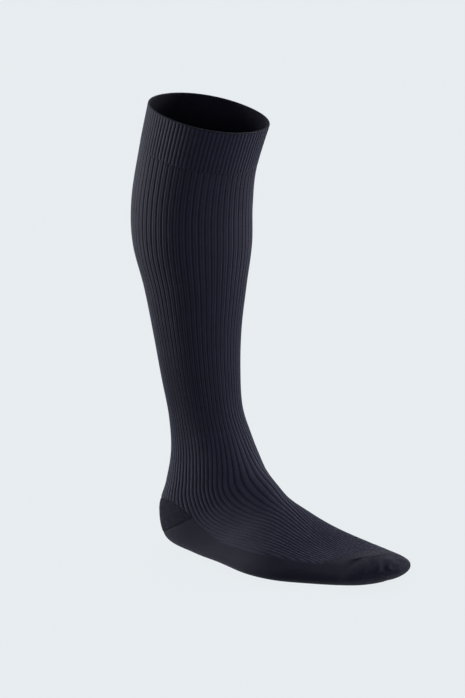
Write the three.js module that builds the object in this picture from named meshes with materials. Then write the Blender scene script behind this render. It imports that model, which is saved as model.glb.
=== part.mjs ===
import * as THREE from 'three';

// A knee-high compression stocking for the right foot, filled out as when it is worn and empty.
// Millimetres. +Z runs up the leg, the toes point to -Y and the outer side of the foot is at -X.
// The origin is the centre of the top opening. The sections are measured as a fitter measures
// them, forward from the back of the heel and up from the floor.

// Where the centre of the top opening lies in those measures, and how far the leg leans outward.
const TOP_FORWARD = 103.5;
const TOP_UP = 416;
const ANKLE_UP = 110;
const LEAN = 5.7;

// The cloth: a plain inside, with ribs and plain knit of different depths outside it.
const CLOTH = { inside: 2.0, groove: 0.9, plain: 0.4, terry: 0.1, bandGroove: 0.4, bandCrest: 0 };
const SEAM_GAP = 0.3;
const RIBS = 72;
const QUARTER_RIBS = RIBS / 4;

// Stations are row numbers of the section table, and may lie between two rows.
const BAND_HEM = 0.9;
const HEEL_TOP = 9.65;
const HEEL_BOTTOM = 10.8;
const HEEL_ROUNDING = 4.7;
const HEEL_REACH = 0.4965;
const RIB_END = 16.3;
const RIB_FADE = 0.5;
const TOE_SEAM = { sole: 16.75, rise: 0.6, peak: 0.92, spread: 0.3 };
const TOE_INSIDE_END = 19.4;

// How finely each piece is cut up along the stocking. Round it, every plain stretch has a column
// for each rib's width, so that the edges of two pieces run side by side.
const STEPS = { band: 2, leg: 11, heel: 6, foot: 9, toe: 6 };

// One row for each section, from the top edge to the toe tip.
// backForward, backUp: the point at the back of the leg, under the foot further on
// frontForward, frontUp: the point on the shin, on top of the foot further on
// outer, inner: half widths to the outer and inner side
// belly: where the section is widest, as a share of the way from back to front
// square: how square the back half is, where 2 is round
// skew: how far the outer side is set back, for each millimetre of width
// share: the part of the girth that belongs to the back of the leg or to the sole
const COLUMNS = ['backForward', 'backUp', 'frontForward', 'frontUp', 'outer', 'inner',
  'belly', 'square', 'skew', 'share'];
const SECTIONS = [
  [52.0, 434, 155, 398, 52.0, 52.0, 0.50, 2.1, 0.00, 0.500], // top edge
  [34.0, 393, 135, 359, 51.0, 51.0, 0.50, 2.1, 0.00, 0.500], // just under the band
  [17.0, 345, 127, 327, 52.0, 52.0, 0.49, 2.1, 0.00, 0.500],
  [13.0, 305, 122, 292, 52.0, 52.0, 0.48, 2.1, 0.00, 0.500], // calf
  [18.0, 262, 113, 255, 45.0, 45.0, 0.49, 2.1, 0.00, 0.500],
  [20.5, 218, 104, 216, 39.0, 39.0, 0.50, 2.1, 0.00, 0.500],
  [23.0, 175, 99.5, 178, 35.0, 34.5, 0.50, 2.1, 0.00, 0.500],
  [26.0, 135, 99, 143, 32.0, 31.5, 0.50, 2.1, 0.00, 0.500], // ankle
  [24.0, 100, 107, 117, 33.5, 33.0, 0.49, 2.1, 0.00, 0.500],
  [14.0, 69, 116, 98, 36.0, 35.5, 0.47, 2.1, 0.00, 0.500],
  [0.5, 39, 125, 86, 36.0, 35.5, 0.45, 2.2, 0.00, 0.500], // heel
  [7.0, 9, 137, 76, 34.5, 34.5, 0.42, 2.4, 0.00, 0.495],
  [47.0, 1, 149, 65, 36.0, 35.0, 0.38, 2.6, 0.00, 0.495],
  [94.0, 1, 163.5, 55, 43.5, 39.0, 0.36, 2.8, 0.10, 0.540],
  [141.0, 1, 183, 42.5, 51.0, 43.5, 0.36, 3.0, 0.20, 0.620],
  [183.0, 1, 204, 32.5, 49.0, 46.0, 0.38, 3.0, 0.35, 0.670], // ball of the foot
  [216.5, 1, 227, 28.5, 38.5, 41.5, 0.42, 2.8, 0.45, 0.680],
  [241.0, 2, 246, 28.5, 30.5, 33.0, 0.45, 2.5, 0.50, 0.680], // toes
  [256.5, 5, 257.5, 27, 27.0, 26.0, 0.48, 2.3, 0.50, 0.680],
  [264.0, 9, 264, 24.5, 20.0, 17.0, 0.50, 2.1, 0.50, 0.680],
  [268.0, 13, 268, 20.5, 10.0, 9.0, 0.50, 2.1, 0.50, 0.680], // toe tip
];
const LAST_STATION = SECTIONS.length - 1;
const FRONT_SQUARE = 2.1;
const TIP_BULGE = 2;

// Smoothing steps for directions on the surface, in stations and in turns round a half section.
const STATION_STEP = 0.1;
const TURN_STEP = 0.02;
const HALF_STEPS = 64;

/** The columns of the table at any station, on a smooth curve through its rows. */
function sectionAt(station) {
  const place = THREE.MathUtils.clamp(station, 0, LAST_STATION);
  const first = Math.min(Math.floor(place), LAST_STATION - 1);
  const rows = [first - 1, first, first + 1, first + 2]
    .map((row) => SECTIONS[THREE.MathUtils.clamp(row, 0, LAST_STATION)]);
  const along = place - first;
  const section = {};
  COLUMNS.forEach((name, column) => {
    section[name] = smooth(rows.map((row) => row[column]), along);
  });
  return section;
}

/** A Catmull-Rom curve through four values, between the second and the third. */
function smooth([before, from, to, after], along) {
  const slopeFrom = (to - before) / 2;
  const slopeTo = (after - from) / 2;
  const square = along * along;
  const cube = square * along;
  return from * (2 * cube - 3 * square + 1) + to * (3 * square - 2 * cube)
    + slopeFrom * (cube - 2 * square + along) + slopeTo * (cube - square);
}

/** One side of a section as points from its back to its front: a half of a squared oval. */
function halfSection(section, side) {
  const back = new THREE.Vector2(section.backForward, section.backUp);
  const chord = new THREE.Vector2(section.frontForward, section.frontUp).sub(back);
  const widest = back.clone().addScaledVector(chord, section.belly);
  const points = [];
  for (let step = 0; step <= HALF_STEPS; step += 1) {
    const angle = Math.PI * step / HALF_STEPS;
    const cosine = Math.cos(angle);
    const isBack = cosine > 0;
    const power = 2 / (isBack ? section.square : FRONT_SQUARE);
    const reach = isBack ? -section.belly : 1 - section.belly;
    const width = side * (side > 0 ? section.outer : section.inner) * Math.sin(angle) ** power;
    const along = widest.clone().addScaledVector(chord, reach * Math.abs(cosine) ** power);
    points.push(new THREE.Vector3(along.x - section.skew * width, width, along.y));
  }
  return points;
}

/** The point a share of the way along a row of points, by length. */
function pointAlong(points, share) {
  const lengths = [0];
  for (let i = 1; i < points.length; i += 1) {
    lengths.push(lengths[i - 1] + points[i].distanceTo(points[i - 1]));
  }
  const target = share * lengths[lengths.length - 1];
  let end = 1;
  while (end < points.length - 1 && lengths[end] < target) end += 1;
  const part = (target - lengths[end - 1]) / (lengths[end] - lengths[end - 1]);
  return points[end - 1].clone().lerp(points[end], part);
}

/** From forward, outward and up, as the table measures, to the part's own x, y and z. */
function toPart(point) {
  const lean = LEAN * Math.max(point.z - ANKLE_UP, 0) / (TOP_UP - ANKLE_UP);
  return new THREE.Vector3(LEAN - lean - point.y, TOP_FORWARD - point.x, point.z - TOP_UP);
}

/**
 * A point of the stocking's outline. Turn runs round it from -1 on the front, by way of the outer
 * side, to 0 at the back or under the sole, and on by the inner side to 1 on the front again.
 */
function outlineAt(station, turn) {
  const wrapped = turn > 1 ? turn - 2 : turn < -1 ? turn + 2 : turn;
  const section = sectionAt(station);
  const away = Math.abs(wrapped) * 2;
  const share = away < 1 ? away * section.share : section.share + (away - 1) * (1 - section.share);
  return toPart(pointAlong(halfSection(section, wrapped < 0 ? 1 : -1), share));
}

/** The direction in which the outline runs on, towards the toes. */
function onwardAt(station, turn) {
  return outlineAt(station + STATION_STEP, turn).sub(outlineAt(station - STATION_STEP, turn));
}

/** A point at a depth under the outline, along the surface's own direction. */
function clothAt(station, turn, depth) {
  const around = outlineAt(station, turn + TURN_STEP).sub(outlineAt(station, turn - TURN_STEP));
  const outward = around.cross(onwardAt(station, turn)).normalize();
  return outlineAt(station, turn).addScaledVector(outward, -depth);
}

/** The station that lies some millimetres further on, measured on the surface. */
function movedOn(station, turn, distance) {
  return station + distance * 2 * STATION_STEP / onwardAt(station, turn).length();
}

/** A closed wall of cloth, built from an outer and an inner sheet and the rims between them. */
class Wall {
  constructor() {
    this.positions = [];
    this.triangles = [];
  }

  /** Adds a point and gives its number. */
  addPoint(point) {
    this.positions.push(point.x, point.y, point.z);
    return this.positions.length / 3 - 1;
  }

  /** Adds a triangle, turned over where it faces the inside. */
  addTriangle(first, second, third, facesOut) {
    this.triangles.push(...(facesOut ? [first, second, third] : [first, third, second]));
  }

  /** Adds a grid of points as one side of the cloth, and gives the points' numbers. */
  addSheet(grid, isTube, facesOut) {
    const numbers = grid.map((row) => row.map((point) => this.addPoint(point)));
    for (let row = 0; row + 1 < numbers.length; row += 1) {
      const upper = numbers[row];
      const lower = numbers[row + 1];
      const count = isTube ? upper.length : upper.length - 1;
      for (let column = 0; column < count; column += 1) {
        const next = (column + 1) % upper.length;
        this.addTriangle(upper[column], upper[next], lower[next], facesOut);
        this.addTriangle(upper[column], lower[next], lower[column], facesOut);
      }
    }
    return numbers;
  }

  /** Closes the last ring of a sheet at one point. */
  addTip(ring, tip, facesOut) {
    const number = this.addPoint(tip);
    ring.forEach((start, i) => this.addTriangle(start, ring[(i + 1) % ring.length], number, facesOut));
  }

  /** Joins an outer and an inner loop, each a list of { number, at }, which closes after a span. */
  addRim(outer, inner, span, facesUp) {
    const closed = (loop) => [...loop, { number: loop[0].number, at: loop[0].at + span }];
    const [outside, inside] = [closed(outer), closed(inner)];
    let i = 0;
    let j = 0;
    while (i < outer.length || j < inner.length) {
      const stepsOutside = j === inner.length
        || (i < outer.length && outside[i + 1].at <= inside[j + 1].at);
      if (stepsOutside) {
        this.addTriangle(outside[i + 1].number, outside[i].number, inside[j].number, facesUp);
        i += 1;
      } else {
        this.addTriangle(inside[j].number, inside[j + 1].number, outside[i].number, facesUp);
        j += 1;
      }
    }
  }

  /** The finished piece as a named mesh. */
  toMesh(name, material) {
    const geometry = new THREE.BufferGeometry();
    geometry.setAttribute('position', new THREE.Float32BufferAttribute(this.positions, 3));
    geometry.setIndex(this.triangles);
    geometry.computeVertexNormals();
    const mesh = new THREE.Mesh(geometry, material);
    mesh.name = name;
    return mesh;
  }
}

/** Evenly spaced turns, from one to another, without the last. */
function evenTurns(from, to, count) {
  return Array.from({ length: count }, (_, i) => from + (to - from) * i / count);
}

/** Columns over a stretch of ribs: a groove, then the two edges of each flat crest. */
function ribColumns(from, to, ribs, crest = [0.25, 0.75]) {
  const pitch = (to - from) / ribs;
  return evenTurns(from, to, ribs).flatMap((turn) => [
    { turn, kind: 'groove' },
    ...crest.map((edge) => ({ turn: turn + edge * pitch, kind: 'crest' })),
  ]);
}

/** Columns over a plain stretch. */
function plainColumns(from, to, count) {
  return evenTurns(from, to, count).map((turn) => ({ turn, kind: 'plain' }));
}

/** Points of one side of the cloth, a row for each step from one edge line to another. */
function sheetBetween(columns, steps, startAt, endAt, depthAt) {
  return Array.from({ length: steps + 1 }, (_, step) => columns.map((column) => {
    const start = movedOn(startAt(column.turn), column.turn, SEAM_GAP / 2);
    const end = movedOn(endAt(column.turn), column.turn, -SEAM_GAP / 2);
    const station = THREE.MathUtils.lerp(start, end, step / steps);
    return clothAt(station, column.turn, depthAt(column, station));
  }));
}

/** A loop round a tube, with each point's turn. */
function ringLoop(numbers, columns) {
  return numbers.map((number, i) => ({ number, at: columns[i].turn }));
}

/** A loop round a patch: along its first row, down, back along its last row and up. */
function patchLoop(numbers) {
  const lastRow = numbers.length - 1;
  const lastColumn = numbers[0].length - 1;
  const loop = [];
  const add = (row, column, at) => loop.push({ number: numbers[row][column], at });
  for (let i = 0; i < lastColumn; i += 1) add(0, i, i / lastColumn);
  for (let i = 0; i < lastRow; i += 1) add(i, lastColumn, 1 + i / lastRow);
  for (let i = 0; i < lastColumn; i += 1) add(lastRow, lastColumn - i, 2 + i / lastColumn);
  for (let i = 0; i < lastRow; i += 1) add(lastRow - i, 0, 3 + i / lastRow);
  return loop;
}

/** A tube of cloth between two edge lines. */
function tube({ name, material, columns, steps, startAt, endAt, depthAt }) {
  const insideColumns = plainColumns(-1, 1, RIBS);
  const wall = new Wall();
  const outer = wall.addSheet(sheetBetween(columns, steps, startAt, endAt, depthAt), true, true);
  const inner = wall.addSheet(
    sheetBetween(insideColumns, steps, startAt, endAt, () => CLOTH.inside), true, false);
  wall.addRim(ringLoop(outer[0], columns), ringLoop(inner[0], insideColumns), 2, true);
  wall.addRim(ringLoop(outer[steps], columns), ringLoop(inner[steps], insideColumns), 2, false);
  return wall.toMesh(name, material);
}

/** An edge line that stays at one station all round. */
const level = (station) => () => station;

/** Where the leg ends: over the heel pocket it curves up, and it runs level over the instep. */
function heelTopAt(turn) {
  const away = Math.min(Math.abs(turn) * 2, 1);
  return HEEL_TOP + (HEEL_BOTTOM - HEEL_TOP) * away ** HEEL_ROUNDING;
}

/** Where the foot ends: the toe seam runs level under the foot, and climbs over the big toe. */
function toeSeamAt(turn) {
  const away = THREE.MathUtils.euclideanModulo(turn - TOE_SEAM.peak + 1, 2) - 1;
  return TOE_SEAM.sole + TOE_SEAM.rise * Math.exp(-((away / TOE_SEAM.spread) ** 2));
}

/** The band at the top, a turned and doubled welt with flat fine ribs. */
function makeBand(material) {
  return tube({
    name: 'top_band',
    material,
    columns: ribColumns(-1, 1, RIBS, [0.5]),
    steps: STEPS.band,
    startAt: (turn) => movedOn(0, turn, -SEAM_GAP / 2),
    endAt: level(BAND_HEM),
    depthAt: (column) => (column.kind === 'crest' ? CLOTH.bandCrest : CLOTH.bandGroove),
  });
}

/** The leg, ribbed all round, from the band's hem to the heel pocket and the instep. */
function makeLeg(material) {
  return tube({
    name: 'leg',
    material,
    columns: ribColumns(-1, 1, RIBS),
    steps: STEPS.leg,
    startAt: level(BAND_HEM),
    endAt: heelTopAt,
    depthAt: (column) => (column.kind === 'crest' ? 0 : CLOTH.groove),
  });
}

/** The heel pocket, a rounded wedge of terry that narrows to a corner on each side. */
function makeHeel(material) {
  const turns = evenTurns(1 - QUARTER_RIBS, QUARTER_RIBS, 2 * QUARTER_RIBS - 1)
    .map((rib) => rib / (2 * QUARTER_RIBS));
  const columns = [-HEEL_REACH, ...turns, HEEL_REACH].map((turn) => ({ turn, kind: 'plain' }));
  const between = (depth) => sheetBetween(
    columns, STEPS.heel, heelTopAt, level(HEEL_BOTTOM), () => depth);
  const wall = new Wall();
  const outer = wall.addSheet(between(CLOTH.terry), false, true);
  const inner = wall.addSheet(between(CLOTH.inside), false, false);
  wall.addRim(patchLoop(outer), patchLoop(inner), 4, true);
  return wall.toMesh('heel', material);
}

/** The foot: a plain sole, and an instep whose ribs run on from the shin and end at the toes. */
function makeFoot(material) {
  const columns = [
    ...ribColumns(-1, -0.5, QUARTER_RIBS),
    ...plainColumns(-0.5, 0.5, 2 * QUARTER_RIBS),
    ...ribColumns(0.5, 1, QUARTER_RIBS),
  ];
  const depthAt = (column, station) => {
    if (column.kind === 'plain') return CLOTH.plain;
    const ribbed = THREE.MathUtils.clamp((RIB_END - station) / RIB_FADE, 0, 1);
    return THREE.MathUtils.lerp(CLOTH.plain, column.kind === 'crest' ? 0 : CLOTH.groove, ribbed);
  };
  return tube({
    name: 'foot',
    material,
    columns,
    steps: STEPS.foot,
    startAt: level(HEEL_BOTTOM),
    endAt: toeSeamAt,
    depthAt,
  });
}

/** The toe pocket, plain and closed at its tip. */
function makeToe(material) {
  const columns = plainColumns(-1, 1, RIBS);
  const between = (end, depth) => sheetBetween(
    columns, STEPS.toe, toeSeamAt, level(end), () => depth);
  const wall = new Wall();
  const outer = wall.addSheet(between(LAST_STATION, CLOTH.plain), true, true);
  const inner = wall.addSheet(between(TOE_INSIDE_END, CLOTH.inside), true, false);
  wall.addRim(ringLoop(outer[0], columns), ringLoop(inner[0], columns), 2, true);
  wall.addTip(outer[STEPS.toe], tipAt(LAST_STATION), true);
  wall.addTip(inner[STEPS.toe], tipAt(TOE_INSIDE_END), false);
  return wall.toMesh('toe', material);
}

/** The point that closes the toe just in front of a section's middle. */
function tipAt(station) {
  const middle = outlineAt(station, 0).add(outlineAt(station, 1)).divideScalar(2);
  return middle.add(new THREE.Vector3(0, -TIP_BULGE, 0));
}

/** A knitted nylon and elastane cloth of the given colour. */
function knit(color) {
  return new THREE.MeshStandardMaterial({ color, roughness: 0.85, metalness: 0 });
}

const ribbedKnit = knit('#22242e');
const bandKnit = knit('#262833');
const plainKnit = knit('#20222b');

const stocking = new THREE.Group();
stocking.add(
  makeBand(bandKnit),
  makeLeg(ribbedKnit),
  makeHeel(plainKnit),
  makeFoot(ribbedKnit),
  makeToe(plainKnit),
);

export default stocking;
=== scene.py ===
"""A knee-high compression stocking, dressed as knitted cloth around its solids.

The stocking is for a right foot. It stands filled out, as when it is worn, and empty. Lengths are in
metres, and those of the knitting table in millimetres. +Z runs up the leg, the toes point to -Y, the
outer side is at -X and the origin is the centre of the top opening.
"""

from __future__ import annotations

import logging
import math
from dataclasses import dataclass, field
from enum import Enum
from typing import Callable

import bpy
import numpy as np
from mathutils import Matrix, Vector


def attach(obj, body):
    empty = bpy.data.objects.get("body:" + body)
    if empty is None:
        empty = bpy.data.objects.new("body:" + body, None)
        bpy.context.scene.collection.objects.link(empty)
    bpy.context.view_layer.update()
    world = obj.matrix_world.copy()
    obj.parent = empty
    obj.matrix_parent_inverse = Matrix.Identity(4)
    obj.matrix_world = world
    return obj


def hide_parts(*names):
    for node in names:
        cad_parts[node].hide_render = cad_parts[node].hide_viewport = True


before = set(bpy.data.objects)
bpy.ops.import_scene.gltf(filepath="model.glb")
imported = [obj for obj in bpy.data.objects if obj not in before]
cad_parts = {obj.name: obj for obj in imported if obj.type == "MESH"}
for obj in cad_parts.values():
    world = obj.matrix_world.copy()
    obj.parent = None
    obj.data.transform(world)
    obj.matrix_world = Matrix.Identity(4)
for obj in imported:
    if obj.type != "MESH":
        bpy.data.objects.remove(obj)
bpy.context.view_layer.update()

log = logging.getLogger("stocking")

MM = 0.001
BODY = "root"
KNIT_UV = "knit"

Numbers = np.ndarray
StationLine = Callable[[Numbers], Numbers]


# The knitting table: one row for each section, from the top edge to the toe tip, measured forward
# from the back of the heel and up from the floor.
# back_forward, back_up: the point at the back of the leg, under the foot further on
# front_forward, front_up: the point on the shin, on top of the foot further on
# outer, inner: half widths to the outer and inner side
# belly: where the section is widest, as a share of the way from back to front
# square: how square the back half is, where 2 is round
# skew: how far the outer side is set back, for each millimetre of width
# share: the part of the girth that belongs to the back of the leg or to the sole
SECTION_COLUMNS = ("back_forward", "back_up", "front_forward", "front_up", "outer", "inner",
                   "belly", "square", "skew", "share")
SECTIONS = np.array([
    [52.0, 434, 155, 398, 52.0, 52.0, 0.50, 2.1, 0.00, 0.500],  # top edge
    [34.0, 393, 135, 359, 51.0, 51.0, 0.50, 2.1, 0.00, 0.500],  # just under the band
    [17.0, 345, 127, 327, 52.0, 52.0, 0.49, 2.1, 0.00, 0.500],
    [13.0, 305, 122, 292, 52.0, 52.0, 0.48, 2.1, 0.00, 0.500],  # calf
    [18.0, 262, 113, 255, 45.0, 45.0, 0.49, 2.1, 0.00, 0.500],
    [20.5, 218, 104, 216, 39.0, 39.0, 0.50, 2.1, 0.00, 0.500],
    [23.0, 175, 99.5, 178, 35.0, 34.5, 0.50, 2.1, 0.00, 0.500],
    [26.0, 135, 99, 143, 32.0, 31.5, 0.50, 2.1, 0.00, 0.500],  # ankle
    [24.0, 100, 107, 117, 33.5, 33.0, 0.49, 2.1, 0.00, 0.500],
    [14.0, 69, 116, 98, 36.0, 35.5, 0.47, 2.1, 0.00, 0.500],
    [0.5, 39, 125, 86, 36.0, 35.5, 0.45, 2.2, 0.00, 0.500],  # heel
    [7.0, 9, 137, 76, 34.5, 34.5, 0.42, 2.4, 0.00, 0.495],
    [47.0, 1, 149, 65, 36.0, 35.0, 0.38, 2.6, 0.00, 0.495],
    [94.0, 1, 163.5, 55, 43.5, 39.0, 0.36, 2.8, 0.10, 0.540],
    [141.0, 1, 183, 42.5, 51.0, 43.5, 0.36, 3.0, 0.20, 0.620],
    [183.0, 1, 204, 32.5, 49.0, 46.0, 0.38, 3.0, 0.35, 0.670],  # ball of the foot
    [216.5, 1, 227, 28.5, 38.5, 41.5, 0.42, 2.8, 0.45, 0.680],
    [241.0, 2, 246, 28.5, 30.5, 33.0, 0.45, 2.5, 0.50, 0.680],  # toes
    [256.5, 5, 257.5, 27, 27.0, 26.0, 0.48, 2.3, 0.50, 0.680],
    [264.0, 9, 264, 24.5, 20.0, 17.0, 0.50, 2.1, 0.50, 0.680],
    [268.0, 13, 268, 20.5, 10.0, 9.0, 0.50, 2.1, 0.50, 0.680],  # toe tip
])
LAST_STATION = len(SECTIONS) - 1.0
FRONT_SQUARE = 2.1
OUTER_SIDE = -0.5
LENGTH_STEPS = 400

# Where the table's measures lie in the part's own frame, in millimetres.
TOP_FORWARD = 103.5
TOP_UP = 416.0
ANKLE_UP = 110.0
LEAN = 5.7

# Stations are row numbers of the table, and may lie between two rows.
BAND_HEM = 0.9
HEEL_TOP = 9.65
HEEL_BOTTOM = 10.8
HEEL_ROUNDING = 4.7
HEEL_EASE = 0.02
RIB_END = 16.3
RIB_FADE = 0.35
PARTED_END = 9.5
PARTED_FADE = 3.5
SOLE_START = 10.0
SOLE_BLEND = 2.0
SOLE_FADE = 0.03
SOLE_EDGE_FALL = 0.04
TOE_SEAM_SOLE = 16.75
TOE_SEAM_RISE = 0.6
TOE_SEAM_PEAK = 0.92
TOE_SEAM_SPREAD = 0.3
TOE_SEAM_SHOWS = 0.66
TOE_SEAM_EASE = 0.08
TOE_INSIDE_END = 19.4
TIP_BULGE = 2.0

# Ribs all round each piece. The foot has more than the leg, because some start at the sole's edge.
BAND_RIBS = 90
LEG_RIBS = 60
FOOT_RIBS = 66
FOOT_RIBS_LOST = 24

# At the ankle the ribs bend sharply, on a line that climbs from the heel's corners to the shin.
BEND_START = 7.5
BEND_SLOPE = 2.0
BEND_END = 13.0
BEND_LEAN = 0.04

# Depths under the outline, in millimetres.
RIB_HEIGHT = 0.9
PLAIN_DEPTH = 0.4
TERRY_DEPTH = 0.3
CLOTH_THICKNESS = 1.4


def smoothstep(value: Numbers) -> Numbers:
    """Eases from 0 to 1 as the value goes from 0 to 1."""
    held = np.clip(value, 0, 1)
    return held * held * (3 - 2 * held)


def sections_at(stations: Numbers) -> dict[str, Numbers]:
    """Reads the table on a smooth curve through its rows.

    Args:
        stations: Places along the stocking, in rows of the table.

    Returns:
        Each named column's value at each station.
    """
    place = np.clip(stations, 0, LAST_STATION)
    first = np.minimum(place.astype(int), int(LAST_STATION) - 1)
    along = (place - first)[:, None]
    before, start, end, after = (
        SECTIONS[np.clip(first + offset, 0, int(LAST_STATION))] for offset in (-1, 0, 1, 2))
    slope_start, slope_end = (end - before) / 2, (after - start) / 2
    square, cube = along ** 2, along ** 3
    values = (start * (2 * cube - 3 * square + 1) + end * (3 * square - 2 * cube)
              + slope_start * (cube - 2 * square + along) + slope_end * (cube - square))
    return dict(zip(SECTION_COLUMNS, values.T))


class Outline:
    """The stocking's outline, held as a fine lattice of points over station and turn.

    Turn runs round a section from -1 on the front, by way of the outer side, to 0 at the back or
    under the sole, and on by the inner side to 1 on the front again.
    """

    STATION_STEPS = 50
    TURN_STEPS = 720
    HALF_STEPS = 512
    STATION_REACH = 0.1
    TURN_REACH = 0.02

    def __init__(self) -> None:
        """Works out the lattice, in metres."""
        stations = np.linspace(0, LAST_STATION, int(LAST_STATION) * self.STATION_STEPS + 1)
        sections = sections_at(stations)
        away = np.linspace(0, 1, self.TURN_STEPS + 1)
        outer = self._half(sections, 1, away)
        inner = self._half(sections, -1, away)
        self.lattice = np.concatenate([outer[:, ::-1], inner[:, 1:]], axis=1)

    def _half(self, sections: dict[str, Numbers], side: int, away: Numbers) -> Numbers:
        """Works out one side of every section, a half of a squared oval.

        Args:
            sections: The table's columns at every station.
            side: 1 for the outer side, -1 for the inner side.
            away: Turns away from the back, from 0 to 1.

        Returns:
            Points by station and turn, in metres in the part's frame.
        """
        angle = np.linspace(0, math.pi, self.HALF_STEPS + 1)[None, :]
        column = {name: values[:, None] for name, values in sections.items()}
        is_back = np.cos(angle) > 0
        power = 2 / np.where(is_back, column["square"], FRONT_SQUARE)
        reach = np.where(is_back, -column["belly"], 1 - column["belly"])
        along = column["belly"] + reach * np.abs(np.cos(angle)) ** power
        width = side * column["outer" if side > 0 else "inner"] * np.sin(angle).clip(0) ** power
        run = column["front_forward"] - column["back_forward"]
        rise = column["front_up"] - column["back_up"]
        forward = column["back_forward"] + along * run - column["skew"] * width
        up = column["back_up"] + along * rise
        return self._spread(self._to_part(forward, width, up), sections["share"], away)

    @staticmethod
    def _to_part(forward: Numbers, outward: Numbers, up: Numbers) -> Numbers:
        """Turns the table's forward, outward and up into the part's x, y and z, in metres."""
        lean = LEAN * np.clip(up - ANKLE_UP, 0, None) / (TOP_UP - ANKLE_UP)
        return MM * np.stack([LEAN - lean - outward, TOP_FORWARD - forward, up - TOP_UP], axis=-1)

    @staticmethod
    def _spread(points: Numbers, shares: Numbers, away: Numbers) -> Numbers:
        """Spaces points evenly along each half section, on each side of its share."""
        steps = np.linalg.norm(np.diff(points, axis=1), axis=-1)
        lengths = np.concatenate([np.zeros((len(points), 1)), steps.cumsum(axis=1)], axis=1)
        spread = np.empty((len(points), len(away), 3))
        for row, share in enumerate(shares):
            part = np.where(away < 0.5, 2 * away * share, share + (2 * away - 1) * (1 - share))
            for axis in range(3):
                spread[row, :, axis] = np.interp(
                    part * lengths[row, -1], lengths[row], points[row, :, axis])
        return spread

    def at(self, station: Numbers, turn: Numbers) -> Numbers:
        """Gives the outline's points, between the lattice's own.

        Args:
            station: Places along the stocking.
            turn: Places round it, which may run past -1 or 1.

        Returns:
            Points in metres.
        """
        wrapped = (np.asarray(turn) + 1) % 2
        row = np.clip(station, 0, LAST_STATION) * self.STATION_STEPS
        column = wrapped * self.TURN_STEPS
        upper = np.minimum(row.astype(int), self.lattice.shape[0] - 2)
        left = np.minimum(column.astype(int), self.lattice.shape[1] - 2)
        down, across = (row - upper)[..., None], (column - left)[..., None]
        top = self.lattice[upper, left] * (1 - across) + self.lattice[upper, left + 1] * across
        low = self.lattice[upper + 1, left] * (1 - across) + self.lattice[upper + 1, left + 1] * across
        return top * (1 - down) + low * down

    def onward(self, station: Numbers, turn: Numbers) -> Numbers:
        """Gives the unit direction in which the outline runs on towards the toes."""
        ahead = self.at(station + self.STATION_REACH, turn)
        return unit(ahead - self.at(station - self.STATION_REACH, turn))

    def outward(self, station: Numbers, turn: Numbers) -> Numbers:
        """Gives the unit direction straight out of the outline."""
        around = self.at(station, turn + self.TURN_REACH) - self.at(station, turn - self.TURN_REACH)
        return unit(np.cross(around, self.onward(station, turn)))


def unit(vectors: Numbers) -> Numbers:
    """Scales vectors to a length of one."""
    return vectors / np.linalg.norm(vectors, axis=-1, keepdims=True)


def level(station: float) -> StationLine:
    """Gives an edge line that stays at one station all round."""
    return lambda turn: np.full_like(turn, station)


def heel_top_line(turn: Numbers) -> Numbers:
    """Gives the line where the ribs end over the heel pocket, and the instep's line beyond it."""
    away = np.minimum(np.abs(turn) * 2, 1)
    return HEEL_TOP + (HEEL_BOTTOM - HEEL_TOP) * away ** HEEL_ROUNDING


def toe_seam_line(turn: Numbers) -> Numbers:
    """Gives the toe seam's line, which runs level under the foot and climbs over the big toe."""
    away = (turn - TOE_SEAM_PEAK + 1) % 2 - 1
    return TOE_SEAM_SOLE + TOE_SEAM_RISE * np.exp(-(away / TOE_SEAM_SPREAD) ** 2)


def over_toes(turn: Numbers) -> Numbers:
    """Gives 1 over the toes, where the toe seam shows, and 0 under them, where it lies flat."""
    return smoothstep((np.abs(turn) - TOE_SEAM_SHOWS) / TOE_SEAM_EASE)


def ribs_from_front(station: Numbers, turn: Numbers) -> Numbers:
    """Counts the ribs from the front to each place, on whichever side it lies.

    Above the bend the leg's ribs lean back a little, and beyond it they run on along the foot.
    More ribs start at the sole's edge there, and end at it again towards the toes.

    Args:
        station: Places along the stocking.
        turn: Places round it.

    Returns:
        The count, which is whole in the grooves between the ribs.
    """
    away = np.abs(turn)
    bend = HEEL_BOTTOM - BEND_SLOPE * np.clip(away - 0.5, 0, None)
    up_the_side = np.clip(2 * away - 1, 0, 1)
    lean = BEND_LEAN * (4 * up_the_side * (1 - up_the_side)) ** 2
    leaned = np.clip((station - BEND_START) / (bend - BEND_START), 0, 1)
    on_leg = LEG_RIBS / 2 * (1 - away - lean * leaned)
    lost = FOOT_RIBS_LOST * ((station - BEND_END) / (RIB_END - BEND_END)) ** 2
    on_foot = (FOOT_RIBS - lost) / 2 * (1 - away)
    passed = np.clip((station - bend) / (BEND_END - bend), 0, 1)
    return on_leg + (on_foot - on_leg) * passed


@dataclass(frozen=True)
class Crease:
    """A soft trough placed in the cloth, or a ridge where its depth is negative.

    Attributes:
        station: Where its middle lies along the stocking.
        turn: Where its middle lies round it.
        length: How long it is, in millimetres.
        width: How wide it is, in millimetres.
        depth: How deep it is, in millimetres.
        slant: How far it turns from running along the foot, in degrees.
    """

    station: float
    turn: float
    length: float
    width: float
    depth: float
    slant: float = 0.0

    def depth_at(self, outline: Outline, points: Numbers) -> Numbers:
        """Gives the trough's depth at points of the outline, in millimetres."""
        station, turn = np.array([self.station]), np.array([self.turn])
        middle = outline.at(station, turn)[0]
        onward = outline.onward(station, turn)[0]
        sideways = np.cross(outline.outward(station, turn)[0], onward)
        angle = math.radians(self.slant)
        lengthways = math.cos(angle) * onward + math.sin(angle) * sideways
        crossways = math.cos(angle) * sideways - math.sin(angle) * onward
        away = (points - middle) / MM
        along = (away @ lengthways) / (self.length / 2)
        across = (away @ crossways) / (self.width / 2)
        lift = (away @ np.cross(lengthways, crossways)) / self.width
        return self.depth * np.exp(-(along ** 2 + across ** 2 + lift ** 2))


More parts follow.
